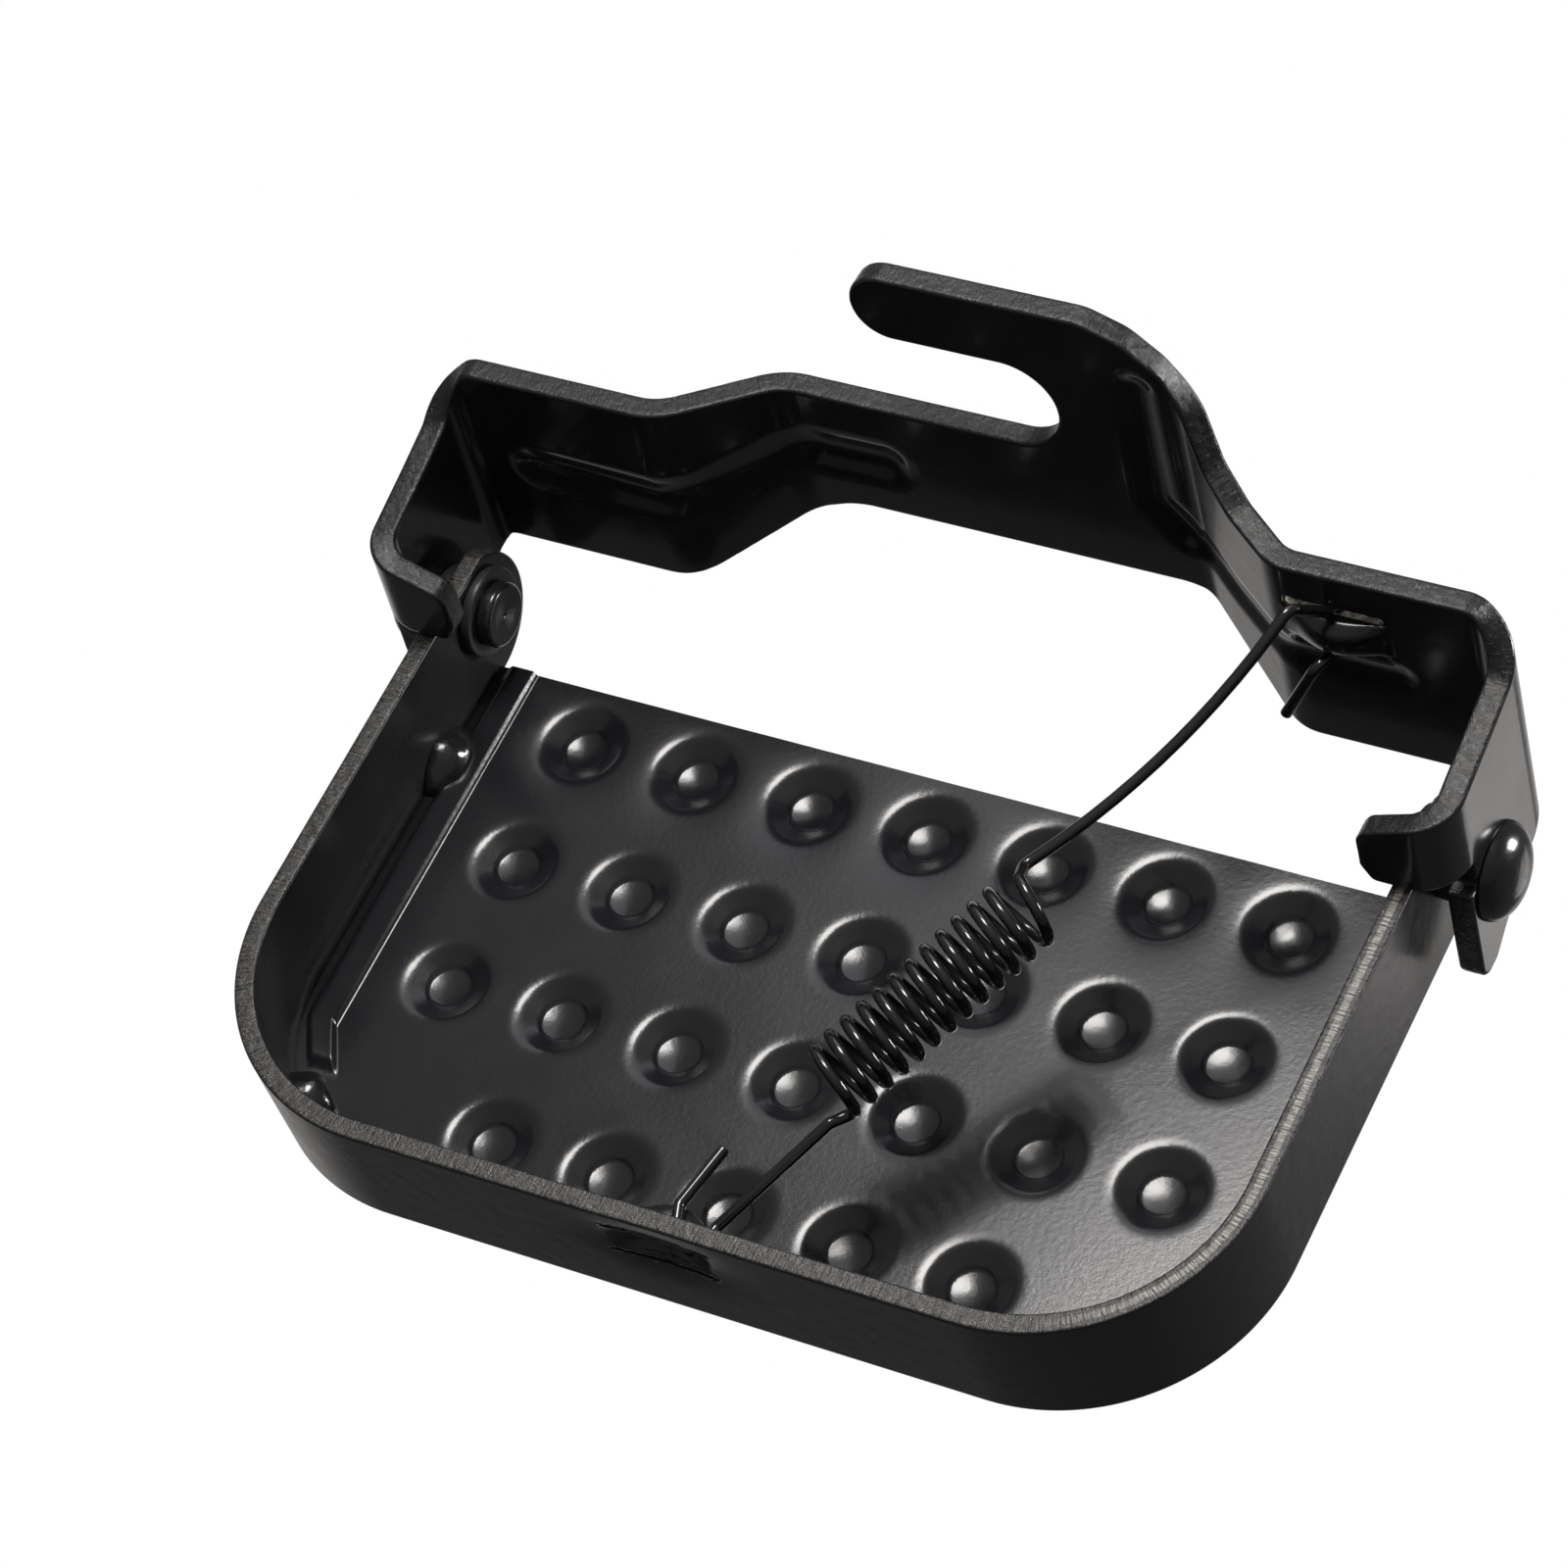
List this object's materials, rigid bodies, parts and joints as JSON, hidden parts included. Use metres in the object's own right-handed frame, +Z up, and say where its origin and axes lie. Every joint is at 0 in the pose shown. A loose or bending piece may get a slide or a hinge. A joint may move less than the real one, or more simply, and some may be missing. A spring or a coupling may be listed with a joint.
{
  "type": "tailgate step",
  "caption": "Fold-down foot step that hooks onto a tailgate striker pin, with a dimpled tread in a U-shaped band, riveted pivots and an over-centre spring.",
  "frame": {"origin": "half way up the striker slot, in the middle of the hook plate's thickness and of the step's width", "axes": "+X along the hinge line towards the side the hook slot opens to, +Y towards the vehicle behind the hook plate, +Z up; the pedal is open"},
  "size_m": [0.2364, 0.1595, 0.1113],
  "materials": {
    "bracket_paint": "gloss black powder coat",
    "band_paint": "satin black powder coat",
    "tread_paint": "dark grey semi-gloss powder coat with fine texture",
    "weld_paint": "gloss black over weld metal",
    "rivet_paint": "gloss black",
    "washer_paint": "black",
    "spring_wire": "gloss black coated spring wire"
  },
  "bodies": {
    "bracket": {"latch_bracket": "bracket_paint", "pivot_rivet_left": "rivet_paint", "pivot_rivet_right": "rivet_paint", "pivot_spacer_left": "washer_paint", "pivot_spacer_right": "washer_paint", "clinch_washer_left": "washer_paint", "clinch_washer_right": "washer_paint"},
    "pedal": {"pedal_band": "band_paint", "tread_plate": "tread_paint", "weld_bead_left_front": "weld_paint", "weld_bead_left_rear": "weld_paint", "weld_bead_right_front": "weld_paint", "weld_bead_right_rear": "weld_paint"},
    "spring_upper": {"spring_coil": "spring_wire"},
    "spring_lower": {"spring_lower_hook": "spring_wire"}
  },
  "joints": [
    {"name": "fold", "type": "hinge", "parent": "bracket", "child": "pedal", "pos_m": [0, -0.0365, 0.055], "axis": [-1, 0, 0], "range_deg": [0, 80]},
    {"name": "spring_swing", "type": "hinge", "parent": "bracket", "child": "spring_upper", "pos_m": [-0.077, -0.0167, 0.0236], "axis": [-0.8658, -0.3532, 0.3544], "range_deg": [0, 54.27]},
    {"name": "spring_stretch", "type": "slide", "parent": "spring_upper", "child": "spring_lower", "axis": [0.4552, -0.8502, 0.2645], "range_m": [0, 0.00743], "deforming": ["spring_coil", "spring_lower_hook"]}
  ],
  "couplings": [
    {"joint": "spring_swing", "follows": "fold", "ratio": 0.67829},
    {"joint": "spring_stretch", "follows": "fold", "m_per_rad": 0.0053234}
  ]
}
